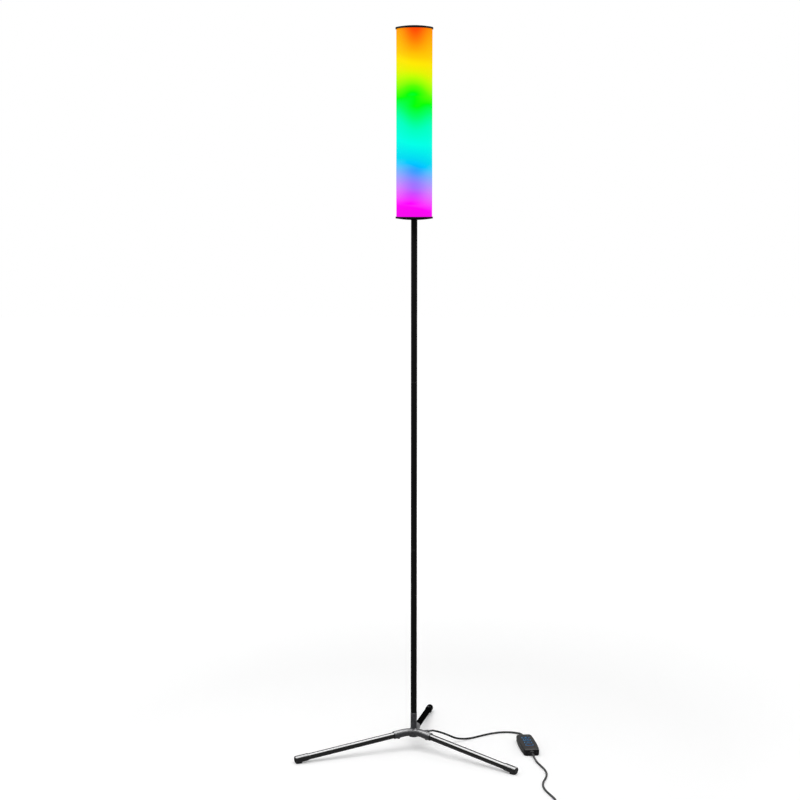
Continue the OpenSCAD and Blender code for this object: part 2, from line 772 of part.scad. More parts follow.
// Lead from the gland, round a bend in the hub and up the pole
module inner_lead() {
    color(BLACK) {
        translate([0, 0, gland_z + lead_bend]) cylinder(d = lead_d, h = terminal_z - gland_z - lead_bend);
        rotate([0, 0, gland_turn]) translate([lead_bend, 0, gland_z]) {
            translate([0, 0, lead_bend]) rotate([90, 0, 0]) rotate([0, 0, 180])
                rotate_extrude(angle = 90) translate([lead_bend, 0]) circle(d = lead_d);
            rotate([0, 90, 0]) cylinder(d = lead_d, h = gland_end_r - lead_bend);
        }
    }
}
module pole_stud() {
    color(STEEL) difference() {
        union() {
            translate([0, 0, socket_z - stud_plug_l]) cylinder(d = pole_plug_d, h = stud_plug_l);
            translate([0, 0, socket_z - SMALL]) cylinder(d = stud_d, h = stud_top - socket_z + SMALL);
        }
        translate([0, 0, socket_z - stud_plug_l - 1]) cylinder(d = stud_bore, h = stud_top);
    }
}
module stud_washer() {
    color(STEEL) translate([0, 0, core_z]) tube(washer_d, stud_d + 2 * fit_gap, washer_t);
}
module stud_nut() {
    color(STEEL) translate([0, 0, core_z + washer_t]) difference() {
        cylinder(d = nut_corner_d, h = nut_h, $fn = 6);
        translate([0, 0, -1]) cylinder(d = stud_d + 2 * fit_gap, h = nut_h + 2);
    }
}

// The shade
function crown(r, dome) = dome * (1 - pow(2 * r / cap_d, 2));
function crown_arc(r0, dome) = [
    for (k = [0 : 8]) let (r = r0 + (cap_d / 2 - r0) * k / 8) [r, crown(r, dome)]
];
// Half section of an end cap: its crown, dark rim, ring inside the milky tube and central boss
module cap_profile(hole, dome, boss_r, depth, hole_points) {
    lip_r = diffuser_d / 2 + fit_gap;
    ring_r = diffuser_in / 2 - fit_gap;
    polygon(concat(
        crown_arc(hole, dome),
        [
            [cap_d / 2, -rim_h], [lip_r, -rim_h], [lip_r, -cap_floor],
            [ring_r, -cap_floor], [ring_r, -spigot_h], [ring_r - spigot_wall, -spigot_h],
            [ring_r - spigot_wall, -cap_floor], [boss_r, -cap_floor], [boss_r, -depth]
        ],
        hole_points
    ));
}
module shade_bottom_cap() {
    socket_r = pole_d / 2 + fit_gap;
    hole_r = stud_d / 2 + fit_gap;
    depth = socket_h + socket_end;
    color(BLACK) translate([0, 0, shade_z]) mirror([0, 0, 1]) rotate_extrude()
        cap_profile(socket_r, bottom_dome, boss_d / 2, depth,
            [[hole_r, -depth], [hole_r, -socket_h], [socket_r, -socket_h]]);
}
module shade_top_cap() {
    hole_r = cap_screw_d / 2 + fit_gap;
    csk_r = hole_r + csk_h;
    color(BLACK) translate([0, 0, shade_top]) rotate_extrude()
        cap_profile(csk_r, top_dome, flange_w / 2, head_drop,
            [[hole_r, -head_drop], [hole_r, crown(csk_r, top_dome) - csk_h]]);
}
module top_cap_screw() {
    top = shade_top + crown(cap_screw_d / 2 + fit_gap + csk_h, top_dome);
    tip = core_top - core_plug_l + 2;
    slot = 0.15 * csk_d;
    color(STEEL) difference() {
        union() {
            translate([0, 0, top - csk_h]) cylinder(d1 = cap_screw_d, d2 = csk_d, h = csk_h);
            translate([0, 0, tip]) cylinder(d = cap_screw_d, h = top - csk_h - tip + SMALL);
        }
        for (w = [[4 * slot, slot], [slot, 4 * slot]])
            translate([-w[0] / 2, -w[1] / 2, top - csk_h / 2]) cube([w[0], w[1], csk_h]);
    }
}
module shade_diffuser() {
    color(MILKY) translate([0, 0, shade_z + cap_floor])
        tube(diffuser_d, diffuser_in, shade_l - 2 * cap_floor);
}

// The light core
module light_core() {
    color(ALUMINIUM) translate([0, 0, core_z]) difference() {
        square_prism(core_w, core_l);
        translate([0, 0, -1]) square_prism(core_in, core_l + 2);
    }
}
module core_foot() {
    color(PLASTIC) difference() {
        union() {
            translate([0, 0, boss_z]) square_prism(flange_w, core_flange_t);
            translate([0, 0, core_z]) square_prism(core_plug_w, core_plug_l);
        }
        translate([0, 0, boss_z - 1]) cylinder(d = stud_d + 2 * fit_gap, h = core_flange_t + 2);
        translate([0, 0, core_z]) cylinder(d = nut_corner_d + 2 * slide_gap, h = core_plug_l + 1);
    }
}
module core_head() {
    color(PLASTIC) difference() {
        union() {
            translate([0, 0, core_top]) square_prism(flange_w, core_flange_t);
            translate([0, 0, core_top - core_plug_l]) square_prism(core_plug_w, core_plug_l);
        }
        translate([0, 0, core_top - core_plug_l - 1])
            cylinder(d = cap_screw_d + 2 * fit_gap, h = core_plug_l + core_flange_t + 2);
    }
}
module terminal_board() {
    color(BOARD) translate([0, 0, terminal_z]) square_prism(core_plug_w - 2 * fit_gap, terminal_t);
}
module on_core_face(a, w, z) {
    rotate([0, 0, a]) translate([core_w / 2, -w / 2, core_z + strip_margin + z]) children();
}
module led_strips() {
    color(WHITE) for (a = [0 : 90 : 270]) on_core_face(a, strip_w, 0)
        cube([strip_t, strip_w, core_l - 2 * strip_margin]);
}
module led_chips() {
    pitch = (core_l - 2 * strip_margin) / chips;
    color(WHITE) for (a = [0 : 90 : 270]) for (k = [0 : chips - 1])
        on_core_face(a, chip_w, (k + 0.5) * pitch - chip_w / 2)
            translate([strip_t, 0, 0]) cube([chip_t, chip_w, chip_w]);
}

// The controller
module shell_solid(insets, heights) {
    loft([for (i = insets) box_outline(i)], heights);
}
module boss_holes() {
    translate([0, 0, seam_h]) rotate([90, 0, 0])
        cylinder(d = boss_neck_d + 2 * fit_gap, h = box_l + 2, center = true);
}
module controller_front() {
    step = front_round * (1 - cos(30));
    color(BLACK) on_box() difference() {
        union() {
            difference() {
                shell_solid(
                    [seam_groove, 0, 0, step, front_round / 2, front_round, front_round + panel_bevel],
                    [seam_h, seam_h + seam_groove, panel_z - front_round, panel_z - front_round / 2,
                        panel_z - step, panel_z, box_t]
                );
                translate([0, 0, seam_h - 1]) linear_extrude(roof_z - seam_h + 1)
                    polygon(box_outline(box_wall));
            }
            at_screws() translate([0, 0, seam_h]) cylinder(d = screw_post_d, h = roof_z - seam_h + SMALL);
            at_board_posts() translate([0, 0, board_top])
                cylinder(d = board_post_d, h = roof_z - board_top + SMALL);
        }
        for (i = [0 : 3]) translate([0, button_y(i), roof_z - 1]) linear_extrude(roof_t + 2)
            polygon(ring_octagon(-fit_gap));
        at_screws() translate([0, 0, seam_h - 1])
            cylinder(d = screw_d + 2 * fit_gap, h = screw_grip + 1.5);
        boss_holes();
    }
}
module controller_back() {
    step = back_round * (1 - cos(45));
    color(BLACK) on_box() difference() {
        union() {
            difference() {
                shell_solid(
                    [back_round, back_round - step, step, 0, 0, seam_groove],
                    [0, step, back_round - step, back_round, seam_h - seam_groove, seam_h]
                );
                translate([0, 0, box_wall]) linear_extrude(seam_h) polygon(box_outline(box_wall));
            }
            at_screws() cylinder(d = screw_head_d + 2, h = seam_h);
            at_board_posts() translate([0, 0, box_wall - SMALL])
                cylinder(d = board_post_d, h = board_z - box_wall + SMALL);
        }
        at_screws() {
            translate([0, 0, -1]) cylinder(d = screw_d + 2 * fit_gap, h = seam_h + 2);
            translate([0, 0, -1]) cylinder(d = screw_head_d + slide_gap, h = screw_seat + 1);
        }
        boss_holes();
    }
}
module controller_screws() {
    color(STEEL) on_box() at_screws() translate([0, 0, screw_seat])
        pan_screw(screw_d, screw_head_d, screw_head_t, seam_h + screw_grip - screw_seat);
}
module circuit_board() {
    color(BOARD) on_box() translate([-board_w / 2, -board_l / 2, board_z])
        cube([board_w, board_l, board_t]);
}
module tactile_switches() {
    color(PLASTIC) for (i = [0 : 3]) on_button(i) translate([0, 0, board_top]) difference() {
        square_prism(switch_w, switch_h);
        translate([0, 0, switch_h - 2 * plunger_in])
            cylinder(d = stem_d + 2 * slide_gap, h = 2 * plunger_in + 1);
    }
}
// Chips, the lights under the rings and the pads on which the wires lie
module board_parts() {
    color(PLASTIC) on_box() translate([0, 0, board_top]) {
        for (c = BOARD_CHIPS) translate([c[0] - c[2] / 2, c[1] - c[3] / 2, 0]) cube([c[2], c[3], c[4]]);
        for (i = [0 : 3]) translate([switch_w / 2 + 1.6, button_y(i) - RING_LED[1] / 2, 0])
            cube(RING_LED);
        for (x = [-1, 0, 1]) translate([x * wire_pitch - pad_w / 2, board_l / 2 - pad_l, 0])
            cube([pad_w, pad_l, pad_h]);
        for (x = [-0.5, 0.5]) translate([x * wire_pitch - pad_w / 2, -board_l / 2, 0])
            cube([pad_w, pad_l, pad_h]);
    }
}
// Rubber boss around a cord: collar inside the wall, neck in it, and the part seen outside
module cord_boss(d, end_d, l) {
    color(RUBBER) difference() {
        union() {
            translate([0, 0, -box_wall - boss_collar_t]) cylinder(d = boss_collar_d, h = boss_collar_t);
            translate([0, 0, -box_wall]) cylinder(d = boss_neck_d, h = box_wall);
            rotate_extrude() polygon([
                [0, 0], [d / 2, 0], [d / 2, l * 0.4], [(d + end_d) / 4, l * 0.85], [end_d / 2, l], [0, l]
            ]);
        }
        translate([0, 0, -box_wall - boss_collar_t - 1])
            cylinder(d = cord_d - 2 * jacket_t, h = box_wall + boss_collar_t + l + 2);
    }
}
module inlet_boss() {
    at_end(1) cord_boss(inlet_d, cord_d + 1.6, inlet_l);
}
module outlet_boss() {
    at_end(-1) cord_boss(outlet_d, outlet_d - 1.4, outlet_l);
}
module wires(side, l, places) {
    inside = (box_l - board_l) / 2 + pad_l;
    color(RED) at_end(side) for (x = places) translate([x * wire_pitch, 0, -inside])
        cylinder(d = wire_d, h = inside + l);
}

// The buttons
module light_ring(i) {
    color(BLUE) on_button(i) translate([0, 0, roof_z]) difference() {
        linear_extrude(roof_t + ring_proud) polygon(ring_octagon(0));
        translate([0, 0, -1]) linear_extrude(roof_t + ring_proud + 2) polygon(ring_octagon(ring_line));
    }
}
// A key with its bevelled cap in the ring, its collar under the front and its stem on the plunger
module button(i) {
    side = ring_line + slide_gap;
    color(BLACK) on_button(i) {
        loft([ring_octagon(side), ring_octagon(side), ring_octagon(side + button_bevel)],
            [collar_top - SMALL, button_top - button_bevel, button_top]);
        translate([0, 0, collar_z]) linear_extrude(collar_t) polygon(ring_octagon(side - collar_over));
        translate([0, 0, plunger_top]) cylinder(d = stem_d, h = collar_z - plunger_top + SMALL);
    }
}
module plunger(i) {
    color(WHITE) on_button(i) translate([0, 0, switch_top - plunger_in])
        cylinder(d = stem_d, h = plunger_in + plunger_out);
}

// The coil's tie and the plug
module coil_tie() {
    room = cord_d / 2 + tie_slack;
    inner = coil_radius(coil_turns - 1 + tie_place) - room;
    outer = coil_radius(2 * coil_turns - 1 + tie_place) + room;
    top = coil_z + coil_step + room;
    color(PLASTIC) translate([coil_x, coil_y, 0]) rotate([0, 0, -360 * tie_place]) rotate([90, 0, 0])
        translate([(inner + outer) / 2, (top + tie_t) / 2, -tie_w / 2])
            linear_extrude(tie_w) difference() {
                rounded_square(outer - inner + 2 * tie_t, top + tie_t, room + tie_t);
                rounded_square(outer - inner, top - tie_t, room);
            }
}
module plug_grip() {
    color(PLASTIC) on_plug() {
        difference() {
            translate([0, 0, tail_l]) linear_extrude(grip_l) rounded_square(grip_t, grip_w, grip_corner);
            translate([0, 0, shell_z]) linear_extrude(shell_in + 1)
                square([shell_t + 2 * fit_gap, shell_w + 2 * fit_gap], center = true);
        }
        cylinder(d1 = cord_d + 1.4, d2 = grip_t - 1, h = tail_l + SMALL);
    }
}
module plug_shell() {
    color(STEEL) on_plug() translate([0, 0, shell_z]) difference() {
        linear_extrude(shell_all) square([shell_t, shell_w], center = true);
        translate([0, 0, -1]) linear_extrude(shell_all + 2)
            square([shell_t - 2 * shell_sheet, shell_w - 2 * shell_sheet], center = true);
        for (y = [-1, 1]) translate([0, y * latch_y, shell_in + shell_l / 2])
            cube([shell_t + 2, latch_w, latch_w], center = true);
    }
}
module plug_tongue() {
    w = shell_w - 2 * shell_sheet - 2 * fit_gap;
    color(WHITE) on_plug() translate([tongue_x, -w / 2, shell_z])
        cube([tongue_t, w, shell_all - tongue_back]);
}
module plug_contacts() {
    color(BRASS) on_plug() for (y = [-3.5, -1, 1, 3.5])
        translate([tongue_x - contact_t, y - contact_w / 2, shell_z])
            cube([contact_t, contact_w, shell_all - tongue_back - 1]);
}

hub();
hub_bottom_plug();
cord_gland();
leg_lock_screws();
leg_tube(0);  // leg_tube_rear
leg_tube(1);  // leg_tube_left
leg_tube(2);  // leg_tube_right
foot_cap(0);  // foot_cap_rear
foot_cap(1);  // foot_cap_left
foot_cap(2);  // foot_cap_right
pole_section(0);  // pole_lower
pole_section(1);  // pole_middle
pole_section(2);  // pole_upper
pole_coupler(1);  // lower_coupler
pole_coupler(2);  // upper_coupler
inner_lead();
pole_stud();
stud_washer();
stud_nut();
shade_bottom_cap();
shade_top_cap();
top_cap_screw();
shade_diffuser();
light_core();
core_foot();
core_head();
terminal_board();
led_strips();
led_chips();
controller_front();
controller_back();
controller_screws();
circuit_board();
tactile_switches();
board_parts();
inlet_boss();
outlet_boss();
wires(1, inlet_l, [-1, 0, 1]);  // inlet_wires
wires(-1, outlet_l, [-0.5, 0.5]);  // outlet_wires
for (i = [0 : 3]) light_ring(i);  // light_rings
button(0);  // button_plus
button(1);  // button_mode
button(2);  // button_minus
button(3);  // button_power
plunger(0);  // plunger_plus
plunger(1);  // plunger_mode
plunger(2);  // plunger_minus
plunger(3);  // plunger_power
color(RUBBER) sweep(smooth(lead_route, 2), 8);  // lead_cord
color(RUBBER) sweep(smooth(supply_route, 2), 8);  // supply_cord
color(RUBBER) sweep(coil_route, 6);  // cord_coil
color(RUBBER) sweep(smooth(tail_route, 2), 8);  // plug_cord
coil_tie();
plug_grip();
plug_shell();
plug_tongue();
plug_contacts();
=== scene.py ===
"""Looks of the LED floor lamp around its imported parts. Metres, +Z up, and the floor is z = 0."""
import json
import math

import bmesh
import bpy
from mathutils import Matrix, Vector

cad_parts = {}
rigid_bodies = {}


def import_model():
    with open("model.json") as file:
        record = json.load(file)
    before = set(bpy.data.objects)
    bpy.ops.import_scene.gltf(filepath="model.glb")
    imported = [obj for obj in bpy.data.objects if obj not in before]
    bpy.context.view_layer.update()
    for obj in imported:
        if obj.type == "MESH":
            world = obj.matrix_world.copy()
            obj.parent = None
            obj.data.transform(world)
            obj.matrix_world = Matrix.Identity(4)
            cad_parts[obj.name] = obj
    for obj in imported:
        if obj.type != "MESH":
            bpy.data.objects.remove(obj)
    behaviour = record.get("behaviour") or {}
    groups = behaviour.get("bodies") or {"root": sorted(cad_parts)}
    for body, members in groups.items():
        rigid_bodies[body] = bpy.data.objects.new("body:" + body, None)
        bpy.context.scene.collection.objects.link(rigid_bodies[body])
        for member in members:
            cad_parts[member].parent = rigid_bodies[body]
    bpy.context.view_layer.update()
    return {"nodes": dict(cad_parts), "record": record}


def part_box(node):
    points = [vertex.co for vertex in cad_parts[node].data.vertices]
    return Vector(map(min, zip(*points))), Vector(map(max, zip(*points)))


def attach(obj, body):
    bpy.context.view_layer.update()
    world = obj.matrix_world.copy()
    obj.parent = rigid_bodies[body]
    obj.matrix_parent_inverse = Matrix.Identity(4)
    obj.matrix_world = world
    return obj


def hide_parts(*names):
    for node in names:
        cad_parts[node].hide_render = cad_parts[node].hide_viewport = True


MM = 0.001

# Camera, at the photograph's viewing angle
CAMERA_PLACE = (-0.027, -3.182, 1.076)
CAMERA_PITCH = math.radians(6.866)
CAMERA_LENS = 74.89

# Controller: its place on the floor and the sizes of its casing
BOX_PLACE = Matrix.Translation((0.225, 0, 0)) @ Matrix.Rotation(math.radians(6), 4, "Z")
BOX_L = 94.7 * MM
BOX_T = 14 * MM
BOX_WALL = 1.8 * MM
SEAM_H = 6.5 * MM

# Cord bosses at the two ends of the controller
BOSS_BORE = 3.7 * MM
BOSS_NECK_D = 6 * MM
BOSS_COLLAR_D = 8.6 * MM
BOSS_COLLAR_T = 1.5 * MM
BOSS_D = 9.4 * MM
BOSS_EDGE = 0.9 * MM
BOSS_LIP = 0.8 * MM
INLET_L = 2.3 * MM
OUTLET_L = 3.9 * MM

# Buttons, from the upper end of the controller to the lower one
KEYS = ("plus", "mode", "minus", "power")
KEY_PITCH = 14.8 * MM
ROW_SHIFT = 1.3 * MM
RING_W = 15 * MM
RING_H = 9.2 * MM
RING_CUT = 2.5 * MM
RING_LINE = 0.8 * MM
KEY_GAP = 0.2 * MM
KEY_TOP = 14.6 * MM
KEY_ROUND = 0.45 * MM
COLLAR_Z = 10.3 * MM
COLLAR_T = 1 * MM
COLLAR_OVER = 0.6 * MM
STEM_D = 3.4 * MM
STEM_Z = 9.4 * MM

# Printed signs, and the words below the lowest button
PRINT_T = 0.06 * MM
LEGEND_Y = -30 * MM
LEGEND_SIZE = 5.4 * MM

# Cord and its coil
CORD_D = 4 * MM
GLAND_TURN = math.radians(21.5)
GLAND_END_R = 31.2 * MM
COIL_CENTRE = Vector((0.225, -0.355, 2.9 * MM))
COIL_R = 29 * MM
COIL_STEP = 4.7 * MM
COIL_TURNS = 3
LAST_TURN = 0.25
STEPS = 6

# Where the cord enters the plug's grip, and the ribs and grooves of the grip
PLUG = Vector((0.182, -0.385, 4.2 * MM))
RIBS = 5
GROOVES = 4


def clear_scene():
    for thing in list(bpy.data.objects):
        bpy.data.objects.remove(thing)


clear_scene()
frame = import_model()
NODES = frame["nodes"]


def make_camera():
    camera = bpy.data.objects.new("camera", bpy.data.cameras.new("camera"))
    camera.location = CAMERA_PLACE
    camera.rotation_euler = (math.pi / 2 - CAMERA_PITCH, 0, 0)
    camera.data.lens = CAMERA_LENS
    bpy.context.scene.collection.objects.link(camera)
    bpy.context.scene.camera = camera


make_camera()


# Meshes

def link(name, data, body="root", slot=None, replaces=()):
    """New object of the scene that rides on a body."""
    piece = bpy.data.objects.new(name, data)
    bpy.context.scene.collection.objects.link(piece)
    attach(piece, body)
    if slot:
        piece.data.materials.append(MATERIALS[slot])
    if replaces:
        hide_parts(*replaces)
    return piece


def mesh_of(data):
    """Mesh made from a curve or from text."""
    drawn = bpy.data.objects.new("drawn", data)
    bpy.context.scene.collection.objects.link(drawn)
    graph = bpy.context.evaluated_depsgraph_get()
    mesh = bpy.data.meshes.new_from_object(drawn.evaluated_get(graph))
    bpy.data.objects.remove(drawn)
    mesh.materials.clear()
    return mesh


def apply_modifiers(piece):
    """The mesh as its modifiers leave it becomes the piece's own mesh."""
    graph = bpy.context.evaluated_depsgraph_get()
    mesh = bpy.data.meshes.new_from_object(piece.evaluated_get(graph))
    piece.modifiers.clear()
    piece.data = mesh


def smooth(piece, angle=32):
    """Round stretches shade as round, and edges sharper than the angle stay sharp."""
    piece.data.shade_smooth()
    piece.data.set_sharp_from_angle(angle=math.radians(angle))
    return piece


def solid(name, rings):
    """Closed mesh through a stack of like rings of points."""
    count = len(rings[0])
    mesh = bpy.data.meshes.new(name)
    faces = [
        (i * count + k, i * count + (k + 1) % count, (i + 1) * count + (k + 1) % count, (i + 1) * count + k)
        for i in range(len(rings) - 1)
        for k in range(count)
    ]
    last = (len(rings) - 1) * count
    faces.append(tuple(range(count))[::-1])
    faces.append(tuple(last + k for k in range(count)))
    mesh.from_pydata([tuple(p) for ring in rings for p in ring], [], faces)
    tidy = bmesh.new()
    tidy.from_mesh(mesh)
    bmesh.ops.recalc_face_normals(tidy, faces=tidy.faces)
    tidy.to_mesh(mesh)
    tidy.free()
    return mesh


def ring_at(outline, z, place=Matrix.Identity(4)):
    return [place @ Vector((x, y, z)) for x, y in outline]


def circle(d, count=48):
    return [
        (d / 2 * math.cos(2 * math.pi * k / count), d / 2 * math.sin(2 * math.pi * k / count))
        for k in range(count)
    ]


def combine(piece, others, operation):
    """Boolean of the piece with the other meshes."""
    helpers = [bpy.data.objects.new("helper", mesh) for mesh in others]
    for helper in helpers:
        bpy.context.scene.collection.objects.link(helper)
        modifier = piece.modifiers.new("combine", "BOOLEAN")
        modifier.operation = operation
        modifier.solver = "EXACT"
        modifier.object = helper
    apply_modifiers(piece)
    for helper in helpers:
        bpy.data.objects.remove(helper)


# Cord

def spline(a, b, c, d, t):
    return 0.5 * (
        2 * b + (c - a) * t + (2 * a - 5 * b + 4 * c - d) * t * t + (3 * b - a - 3 * c + d) * t * t * t
    )


def smooth_route(route):
    """One smooth curve through the points of a route, whose first and last stretches are straight."""
    p = [Vector(point) for point in route]
    last = len(p) - 2
    curve = []
    for i in range(last + 1):
        for k in range(STEPS):
            t = k / STEPS
            straight = i in (0, last)
            curve.append(p[i].lerp(p[i + 1], t) if straight else spline(*p[i - 1:i + 3], t))
    return curve + [p[-1]]


def coil_point(t):
    radius = COIL_R - COIL_STEP * (COIL_TURNS - abs(COIL_TURNS - t))
    climb = min(max(2 * (t - COIL_TURNS) + 0.5, 0), 1)
    turn = 2 * math.pi * t
    return COIL_CENTRE + Vector((radius * math.cos(turn), -radius * math.sin(turn), COIL_STEP * climb))


def coil_points(rings=48):
    last = round((2 * COIL_TURNS + LAST_TURN) * rings)
    return [coil_point(k / rings) for k in range(last + 1)]


box_dir = BOX_PLACE.to_3x3() @ Vector((0, 1, 0))
gland_dir = Vector((math.cos(GLAND_TURN), math.sin(GLAND_TURN), 0))
gland_end = gland_dir * GLAND_END_R + Vector((0, 0, 31.26 * MM))
inlet_end = BOX_PLACE @ Vector((0, BOX_L / 2 + INLET_L, SEAM_H))
outlet_end = BOX_PLACE @ Vector((0, -BOX_L / 2 - OUTLET_L, SEAM_H))

lead_points = smooth_route([
    gland_end, gland_end + 9 * MM * gland_dir,
    (0.052, 0.021, 0.026), (0.068, 0.028, 0.018), (0.084, 0.036, 0.009), (0.101, 0.046, 0.004),
    (0.119, 0.058, 0.0022), (0.138, 0.072, 0.0021), (0.158, 0.085, 0.0021), (0.179, 0.093, 0.0021),
    (0.199, 0.092, 0.0023), (0.213, 0.082, 0.0035), (0.2185, 0.068, 0.0056),
    inlet_end + 6 * MM * box_dir, inlet_end,
])

coil = coil_points()
coil_start = coil[0] + Vector((0, CORD_D, 0))
coil_end = coil[-1] - Vector((CORD_D, 0, 0))
supply_points = smooth_route([
    outlet_end, outlet_end - 6 * MM * box_dir,
    (0.233, -0.074, 0.0046), (0.237, -0.093, 0.0028), (0.243, -0.113, 0.0022), (0.248, -0.134, 0.0021),
    (0.249, -0.156, 0.0021), (0.245, -0.178, 0.0021), (0.239, -0.2, 0.0021), (0.237, -0.222, 0.0021),
    (0.24, -0.244, 0.0021), (0.246, -0.265, 0.0022), (0.252, -0.286, 0.0023), (0.255, -0.31, 0.0025),
    coil_start + Vector((0, 0.016, 0)), coil_start + Vector((0, 0.008, 0)), coil_start,
])
tail_points = smooth_route([
    coil_end, coil_end - Vector((0.006, 0, 0)), PLUG + Vector((0.023, 0, 2.3 * MM)),
    PLUG + Vector((0.008, 0, 0)), PLUG,
])


def cord_tube(name, points, nodes):
    """Round tube along the points."""
    curve = bpy.data.curves.new(name, "CURVE")
    curve.dimensions = "3D"
    curve.bevel_depth = CORD_D / 2
    curve.bevel_resolution = 6
    curve.use_fill_caps = True
    line = curve.splines.new("POLY")
    line.points.add(len(points) - 1)
    for point, place in zip(line.points, points):
        point.co = (*place, 1)
    line.use_smooth = True
    return link(name, mesh_of(curve), slot="cord", replaces=nodes)


# Materials

def add(tree, kind, inputs=(), **settings):
    """New shader node. An input is a value or another node's output."""
    node = tree.nodes.new("ShaderNode" + kind)
    for name, value in settings.items():
        setattr(node, name, value)
    for name, value in dict(inputs).items():
        if isinstance(value, bpy.types.NodeSocket):
            tree.links.new(value, node.inputs[name])
        else:
            node.inputs[name].default_value = value
    return node


def linear(channel):
    return channel / 12.92 if channel <= 0.04045 else ((channel + 0.055) / 1.055) ** 2.4


def rgb(red, green, blue):
    """Colour as seen on a screen, 0 to 1, in the form that a shader takes."""
    return (linear(red), linear(green), linear(blue), 1)


def ramp(tree, factor, stops):
    """Colour ramp through (place, colour) pairs."""
    node = add(tree, "ValToRGB", {"Fac": factor})
    elements = node.color_ramp.elements
    while len(elements) < len(stops):
        elements.new(1)
    for element, (place, colour) in zip(elements, stops):
        element.position = place
        element.color = colour
    return node.outputs["Color"]


def new_material(name):
    material = bpy.data.materials.new(name)
    material.use_nodes = True
    tree = material.node_tree
    shader = tree.nodes["Principled BSDF"]
    return material, tree, shader


def place_of(tree, scale=(1, 1, 1)):
    here = add(tree, "TexCoord").outputs["Object"]
    return add(tree, "Mapping", {"Vector": here, "Scale": scale}).outputs["Vector"]


# Where satin gloss starts to fade and where it ends, from 0 for a face seen square on to 1 at its edge
FADE_START = 0.3
FADE_END = 0.75


def satin(tree, shader):
    """Satin gloss: the surface mirrors less where it is seen at a flat angle."""
    level = shader.inputs["Specular IOR Level"]
    facing = add(tree, "LayerWeight", {"Blend": 0.5}).outputs["Facing"]
    gloss = add(tree, "MapRange", {
        "Value": facing, "From Min": FADE_START, "From Max": FADE_END,
        "To Min": level.default_value, "To Max": 0.0,
    })
    tree.links.new(gloss.outputs["Result"], level)


def finish(name, dark, light, patch, grain, depth, rough, stretch=(1, 1, 1), fades=False, **sockets):
    """Surface whose colour drifts from dark to light in patches, with a grain in its bump and gloss."""
    material, tree, shader = new_material(name)
    place = place_of(tree, stretch)
    patches = add(tree, "TexNoise", {"Vector": place, "Scale": 1 / patch, "Detail": 3.0}).outputs["Fac"]
    fine = add(tree, "TexNoise", {"Vector": place, "Scale": 1 / grain, "Detail": 4.0}).outputs["Fac"]
    tree.links.new(ramp(tree, patches, [(0.3, dark), (0.7, light)]), shader.inputs["Base Color"])
    gloss = add(tree, "MapRange", {
        "Value": fine, "From Min": 0.3, "From Max": 0.7, "To Min": rough[0], "To Max": rough[1],
    })
    tree.links.new(gloss.outputs["Result"], shader.inputs["Roughness"])
    bump = add(tree, "Bump", {"Height": fine, "Distance": depth, "Strength": 1.0})
    tree.links.new(bump.outputs["Normal"], shader.inputs["Normal"])
    for socket, value in sockets.items():
        shader.inputs[socket.replace("_", " ")].default_value = value
    if fades:
        satin(tree, shader)
    return material


# Colours down the sides of the lit tube, with their heights as shares of its length. The part
# above 1 shows only where the light in the middle bulges down.
TUBE_COLOURS = [
    (0.02, rgb(0.97, 0.03, 0.93)), (0.05, rgb(1, 0.01, 0.97)), (0.07, rgb(1, 0.18, 1)),
    (0.1, rgb(0.95, 0.35, 1)), (0.145, rgb(0.85, 0.5, 1)), (0.185, rgb(0.7, 0.6, 1)),
    (0.23, rgb(0.5, 0.7, 1)), (0.27, rgb(0.25, 0.8, 1)), (0.3, rgb(0, 0.85, 0.95)),
    (0.4, rgb(0, 1, 0.9)), (0.5, rgb(0, 1, 0.75)), (0.575, rgb(0, 1, 0.4)), (0.615, rgb(0, 1, 0)),
    (0.65, rgb(0.35, 1, 0)), (0.71, rgb(0.7, 1, 0)), (0.76, rgb(0.9, 0.95, 0)), (0.82, rgb(1, 0.9, 0)),
    (0.86, rgb(1, 0.8, 0)), (0.99, rgb(1, 0.6, 0)), (1.09, rgb(1, 0.3, 0)),
]
TUBE_SPAN = 1.1
# How far the colours in the middle of the tube are drawn from higher up, at heights from 0 to 1
MIDDLE_SHIFT = [
    (0, 0), (0.05, -0.006), (0.075, -0.002), (0.1, 0.011), (0.144, 0.02), (0.186, 0.003), (0.23, -0.006),
    (0.27, -0.02), (0.31, -0.012), (0.35, 0), (0.4, 0.014), (0.44, 0.035), (0.48, 0.043), (0.54, 0.044),
    (0.575, 0.035), (0.6, 0.014), (0.635, -0.02), (0.67, -0.045), (0.71, -0.033), (0.75, -0.014),
    (0.79, 0.004), (0.83, 0.016), (0.9, 0.088), (0.95, 0.11), (1, 0.105),
]
# How much the colours lean to one side, as a share of the tube's height per metre
LEAN = 0.5
SHIFT_SPAN = 0.25
MIDDLE_POWER = 4.0
# Where the middle of the tube is richer in colour: the height, how far from it the most holds, where it
# ends, and the most
RICH_HEIGHT = 0.19
RICH_FULL = 0.06
RICH_END = 0.125
RICH_MOST = 0.2
# Strength of the tube's own light, and the share of that light's colours painted into the tube's base
# colour, so the milky tube shows the lamp's colours as painted light in other light too
TUBE_GLOW = 0.92
GLOW_PAINTED_BASE = 0.1


